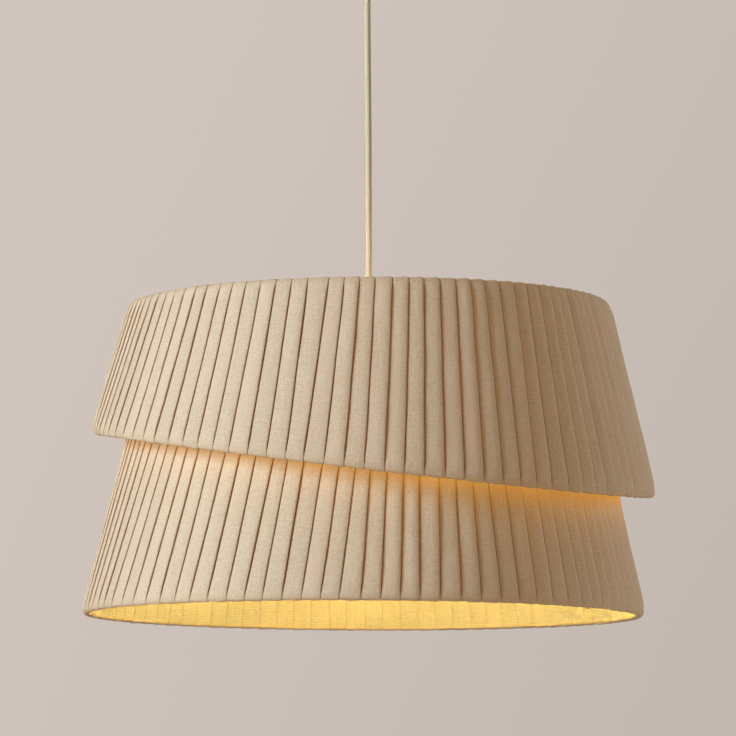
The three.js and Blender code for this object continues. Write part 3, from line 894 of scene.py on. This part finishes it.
# ------------------------------------------------------------ lampholder
NIPPLE_TOP = -298.4
CAP_TOP = -308.3
pts, fcs = lathe(soften([
    (2.9, NIPPLE_TOP), (3.5, NIPPLE_TOP), (5.0, NIPPLE_TOP - 3.2), (7.0, NIPPLE_TOP - 7.0),
    (7.2, NIPPLE_TOP - 9.6), (4.9, NIPPLE_TOP - 9.6), (4.9, NIPPLE_TOP - 14.5), (2.9, NIPPLE_TOP - 14.5)], 0.5), 64,
    lambda r, z, a: r + (0.22 * math.cos(12 * a) * (r > 5.2)))
mesh_piece("cord_nut", pts, fcs, CREAM, "lampholder", ["cord_nipple"])

pts, fcs = lathe(soften([
    (5.25, CAP_TOP), (11, CAP_TOP), (16, CAP_TOP - 2.6), (18.8, CAP_TOP - 7.5), (19.8, CAP_TOP - 14),
    (19.8, CAP_TOP - 21.7), (17.6, CAP_TOP - 21.7), (17.6, CAP_TOP - 13.5), (16.4, CAP_TOP - 8),
    (14, CAP_TOP - 4.2), (10.5, CAP_TOP - 2.4), (5.25, CAP_TOP - 2.4)], 1.2, 4), 144,
    lambda r, z, a: r - (0.30 * max(0.0, math.cos(36 * a)) if r > 19.3 and z > CAP_TOP - 20.8 else 0.0))
mesh_piece("holder_cap", pts, fcs, CREAM, "lampholder", ["lampholder_cap"])


body_profile = [
    (16.3, -330.3), (19.8, -330.3), (19.8, -337.0), (23, -337.0), (23, -340.0), (19.8, -340.0)]
thread = []
z = -344.0
while z > -369.5:
    thread.append((19.8, z))
    z -= 0.65
body_profile += thread + [
    (19.8, -371.0), (19.0, -372.0), (15.0, -372.0), (15.0, -341.8), (13.2, -341.8), (13.2, -337.7), (16.3, -337.7)]


def outside_thread(r, z, a):
    if abs(r - 19.8) < 1e-3 and -369.5 < z < -344.0:
        return 19.55 + 0.22 * math.cos(2 * math.pi * (z / 2.6) - a)
    if r > 22.0:
        return r - 0.25 * max(0.0, math.cos(24 * a))
    return r


pts, fcs = lathe(body_profile, 96, outside_thread)
mesh_piece("holder_body", pts, fcs, CREAM, "lampholder", ["lampholder_body"], angle=30)

pts, fcs = lathe(soften([
    (20.2, -342.6), (26.4, -342.6), (27, -343.6), (27, -346.0), (24.0, -347.2), (23.4, -356.2), (20.2, -356.2)], 0.5), 216,
    lambda r, z, a: r - (0.55 * (0.5 - 0.5 * math.cos(36 * a)) if 22.6 < r < 24.6 and z > -355.6 else 0.0))
mesh_piece("holder_ring", pts, fcs, CREAM, "shade_ring", ["shade_ring"])

# threaded shell that takes the bulb
shell = [(14.0, -342.4), (14.7, -342.4), (14.7, -369.5), (14.0, -369.5)]
z = -369.0
while z < -343.0:
    shell.append((14.0, z))
    z += 0.5
pts, fcs = lathe(shell, 72, lambda r, z, a: 14.12 + 0.14 * math.cos(2 * math.pi * z / 3.6 + a) if abs(r - 14.0) < 1e-3 and -369.2 < z < -343 else r)
mesh_piece("thread_shell", pts, fcs, BRASS, "lampholder", ["screw_shell"], angle=30)

# ------------------------------------------------------------ bulb
cap = [(11.6, -346.7), (12.6, -347.2)]
z = -348.6
while z > -370.6:
    cap.append((13.0, z))
    z -= 0.45
cap += [(13.3, -371.0), (12.6, -371.0), (12.6, -349.4), (11.6, -348.0)]


def cap_thread(r, z, a):
    if abs(r - 13.0) < 1e-3:
        ends = min(1.0, (-348.0 - z) / 3.0, (z + 371.0) / 2.5)
        return 12.98 + 0.30 * max(0.0, ends) * math.cos(2 * math.pi * z / 3.6 + a)
    return r


pts, fcs = lathe(cap, 96, cap_thread)
mesh_piece("bulb_screw_cap", pts, fcs, ALUMINIUM, "bulb", ["bulb_cap"], angle=30)

pts, fcs = lathe(soften([
    (0, -350), (12.2, -350), (12.2, -371.3), (13.6, -371.3), (14.4, -374), (17.4, -383), (22.6, -396),
    (26.2, -406), (27.1, -412.0), (0, -412.0)], 0.9, 3, closed=False), 144,
    lambda r, z, a: r - (0.35 * max(0.0, math.cos(24 * a)) * max(0.0, math.sin(math.pi * (z + 407) / 29)) if -407 < z < -378 and r > 14 else 0.0))
mesh_piece("bulb_body", pts, fcs, WHITE, "bulb", ["bulb_housing"])

pts, fcs = lathe(soften([(0, -412.4), (20, -412.4), (20, -414.2), (0, -414.2)], 0.3, 2, closed=False), 48)
mesh_piece("bulb_board", pts, fcs, ALUMINIUM, "bulb", ["bulb_led_board"])

outer, inner = [], []
for i in range(19):
    f = -math.pi / 2 + (i / 18) * (math.pi / 2 + 0.435)
    outer.append((30 * math.cos(f), -425 + 30 * math.sin(f)))
    inner.append((28.8 * math.cos(f), -425 + 28.8 * math.sin(f)))
outer[0] = (0.0, outer[0][1])
inner[0] = (0.0, inner[0][1])
pts, fcs = lathe([*outer, *reversed(inner)], 48)
mesh_piece("bulb_globe", pts, fcs, OPAL, "bulb", ["bulb_dome"])

# ------------------------------------------------------------ ceiling rose
pts, fcs = lathe(soften([
    (43.6, -0.6), (46.2, -0.6), (46.2, -24), (44.4, -29.5), (39.5, -33.5), (24, -37.2),
    (7.7, -38.6), (7.7, -36.4), (23.5, -35.0), (38.3, -31.4), (42.4, -28.2), (43.6, -23.6)], 1.6, 5), 192,
    lambda r, z, a: r - (0.28 * max(0.0, math.cos(60 * a)) if r > 45.9 and -21.5 < z < -3.0 else 0.0))
mesh_piece("rose_shell", pts, fcs, CREAM, "rose_cover", ["rose_cover"])

plate = bpy.data.curves.new("rose_back", "CURVE")
plate.dimensions = "2D"
plate.fill_mode = "BOTH"


def loop2d(points_xy):
    s = plate.splines.new("POLY")
    s.points.add(len(points_xy) - 1)
    for p, (px, py) in zip(s.points, points_xy):
        p.co = (px * MM, py * MM, 0.0, 1.0)
    s.use_cyclic_u = True


loop2d([(42.3 * math.cos(2 * math.pi * i / 128), 42.3 * math.sin(2 * math.pi * i / 128)) for i in range(128)])
for side in (-1, 1):
    slot_pts = []
    for i in range(17):
        a = math.pi * i / 16
        slot_pts.append((side * 26 + 2.8 * math.cos(a), 3.5 + 2.8 * math.sin(a)))
    for i in range(17):
        a = math.pi + math.pi * i / 16
        slot_pts.append((side * 26 + 2.8 * math.cos(a), -3.5 + 2.8 * math.sin(a)))
    loop2d(slot_pts)
loop2d([(7.2 * math.cos(2 * math.pi * i / 48), -26 + 7.2 * math.sin(2 * math.pi * i / 48)) for i in range(48)])
plate.extrude = 1.7 * MM
plate.bevel_depth = 0.3 * MM
plate.bevel_resolution = 2
holder = bpy.data.objects.new("rose_back_outline", plate)
bpy.context.collection.objects.link(holder)
bpy.context.view_layer.update()
plate_mesh = bpy.data.meshes.new_from_object(holder.evaluated_get(bpy.context.evaluated_depsgraph_get()))
bpy.data.objects.remove(holder)
plate_mesh.name = "rose_back"
plate_mesh.transform(Matrix.Translation((0, 0, -2.0 * MM)))
# threaded wall that the cover screws on to
wall = [(40.2, -3.2), (40.2, -12.7), (40.5, -13.0), (42.1, -13.0)]
z = -12.7
while z < -4.3:
    wall.append((42.4, z))
    z += 0.5
wall.append((42.2, -3.2))
wpts, wfcs = lathe(wall, 128, lambda r, z, a: 42.2 + 0.18 * math.cos(2 * math.pi * z / 3.0 + a) if abs(r - 42.4) < 1e-3 else r)
wall_mesh = bpy.data.meshes.new("rose_wall")
wall_mesh.from_pydata([(p[0] * MM, p[1] * MM, p[2] * MM) for p in wpts], [], wfcs)
import bmesh
bm = bmesh.new()
bm.from_mesh(plate_mesh)
bmesh.ops.remove_doubles(bm, verts=bm.verts, dist=1e-6)
bm.from_mesh(wall_mesh)
bmesh.ops.recalc_face_normals(bm, faces=bm.faces)
for f in bm.faces:
    f.material_index = 0
rose_back_mesh = bpy.data.meshes.new("rose_back")
bm.to_mesh(rose_back_mesh)
bm.free()
rose_back_mesh.materials.append(CREAM)
rose_back_mesh.shade_smooth()
rose_back_mesh.set_sharp_from_angle(angle=math.radians(35))
rose_back = bpy.data.objects.new("rose_back", rose_back_mesh)
bpy.context.collection.objects.link(rose_back)
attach(rose_back, "ceiling_rose")
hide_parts("rose_base_plate")

# ------------------------------------------------------------ CAD parts that stay
STAY = {
    "terminal_block": WHITE, "terminal_screw_live": BRASS, "terminal_screw_neutral": BRASS,
    "cord_grip": WHITE, "grip_screw": STEEL, "cord_tail": CORD_CLOTH, "cord_end": CORD_CLOTH,
    "core_live": CORE_BROWN, "core_neutral": CORE_BLUE, "contact_carrier": PORCELAIN,
    "holder_screw_live": BRASS, "holder_screw_neutral": BRASS, "centre_contact": BRASS,
    "bulb_contact": STEEL, "bulb_insulator": BLACK_GLASS,
}
for node, material in STAY.items():
    ob = bpy.data.objects.get(node)
    if ob is None:
        continue
    if len(ob.material_slots) == 0:
        ob.data.materials.append(material)
    for s in ob.material_slots:
        s.material = material

# ------------------------------------------------------------ floor, wall, light
floor_me = bpy.data.meshes.new("floor")
S = 14.0
floor_me.from_pydata([(-S, -S, -2.4), (S, -S, -2.4), (S, S, -2.4), (-S, S, -2.4)], [], [(0, 1, 2, 3)])
floor = bpy.data.objects.new("floor", floor_me)
bpy.context.collection.objects.link(floor)
ft = Tree("pale_floor")
ft.link(ft.ramp(ft.noise(ft.object_coords(), 3.0, 4.0), [(0.3, srgb(196, 186, 178)), (0.7, srgb(206, 197, 190))]),
        ft.bsdf.inputs["Base Color"])
ft.bsdf.inputs["Roughness"].default_value = 0.9
# a pale studio floor, lit evenly wherever it is looked at, and open from below
pale = ft.ramp(ft.noise(ft.object_coords(), 3.0, 4.0), [(0.3, srgb(188, 178, 170)), (0.7, srgb(198, 188, 180))])
seen_ray = ft.add("ShaderNodeLightPath").outputs["Is Camera Ray"]
ft.link(ft.mix(seen_ray, (0, 0, 0, 1), pale), ft.bsdf.inputs["Emission Color"])
ft.bsdf.inputs["Emission Strength"].default_value = 0.85
floor_out = next(n for n in ft.mat.node_tree.nodes if n.type == "OUTPUT_MATERIAL")
open_below = ft.add("ShaderNodeMixShader")
ft.link(ft.add("ShaderNodeNewGeometry").outputs["Backfacing"], open_below.inputs[0])
ft.link(ft.bsdf.outputs[0], open_below.inputs[1])
ft.link(ft.add("ShaderNodeBsdfTransparent").outputs[0], open_below.inputs[2])
ft.link(open_below.outputs[0], floor_out.inputs["Surface"])
floor_me.materials.append(ft.mat)

world = bpy.data.worlds.new("wall")
world.use_nodes = True
bpy.context.scene.world = world
wt = world.node_tree
bg = next(n for n in wt.nodes if n.type == "BACKGROUND")
wout = next(n for n in wt.nodes if n.type == "OUTPUT_WORLD")
coords = wt.nodes.new("ShaderNodeTexCoord")
sep = wt.nodes.new("ShaderNodeSeparateXYZ")
wt.links.new(coords.outputs["Generated"], sep.inputs[0])
across = wt.nodes.new("ShaderNodeMapRange")
across.inputs[1].default_value = -0.132
across.inputs[2].default_value = 0.068
down = wt.nodes.new("ShaderNodeMath")
down.operation = "MULTIPLY_ADD"
down.inputs[1].default_value = -0.48
wt.links.new(sep.outputs[2], down.inputs[0])
wt.links.new(sep.outputs[0], down.inputs[2])
wt.links.new(down.outputs[0], across.inputs[0])
ramp = wt.nodes.new("ShaderNodeValToRGB")
ramp.color_ramp.elements[0].color = srgb(209, 197, 189)
ramp.color_ramp.elements[1].color = srgb(194, 183, 174)
wt.links.new(across.outputs[0], ramp.inputs[0])
wt.links.new(ramp.outputs[0], bg.inputs[0])
bg.inputs[1].default_value = 1.0
dim = wt.nodes.new("ShaderNodeBackground")
dim.inputs[0].default_value = (1.0, 0.96, 0.88, 1.0)
dim.inputs[1].default_value = 0.135
path = wt.nodes.new("ShaderNodeLightPath")
wmix = wt.nodes.new("ShaderNodeMixShader")
wt.links.new(path.outputs["Is Camera Ray"], wmix.inputs[0])
wt.links.new(dim.outputs[0], wmix.inputs[1])
wt.links.new(bg.outputs[0], wmix.inputs[2])
wt.links.new(wmix.outputs[0], wout.inputs[0])


def area_light(name, azimuth, elevation, distance, size, power, colour):
    """Azimuth is from the front, positive towards the right."""
    data = bpy.data.lights.new(name, "AREA")
    data.shape = "SQUARE"
    data.size = size
    data.energy = power
    data.color = colour
    a, e = math.radians(azimuth), math.radians(elevation)
    aim = Vector((0, 0, -0.43))
    offset = Vector((math.sin(a) * math.cos(e), -math.cos(a) * math.cos(e), math.sin(e)))
    ob = bpy.data.objects.new(name, data)
    bpy.context.collection.objects.link(ob)
    ob.location = aim + offset * distance
    ob.rotation_euler = (-offset).to_track_quat("-Z", "Y").to_euler()
    return ob


area_light("key", -58, 12, 3.2, 1.3, 78.5, (0.98, 1.0, 0.985))
area_light("right", 108, 8, 3.2, 1.2, 21.0, (0.86, 0.95, 1.0))
area_light("back", 172, 24, 3.2, 1.5, 30.0, (1.0, 0.98, 0.95))

scene = bpy.context.scene
scene.view_settings.view_transform = "Standard"
scene.view_settings.look = "None"
scene.view_settings.exposure = 0.0
scene.view_settings.gamma = 1.0
scene.cycles.sample_clamp_indirect = 6.0
scene.cycles.max_bounces = 12
scene.cycles.diffuse_bounces = 6
scene.cycles.transmission_bounces = 10

bpy.context.view_layer.update()
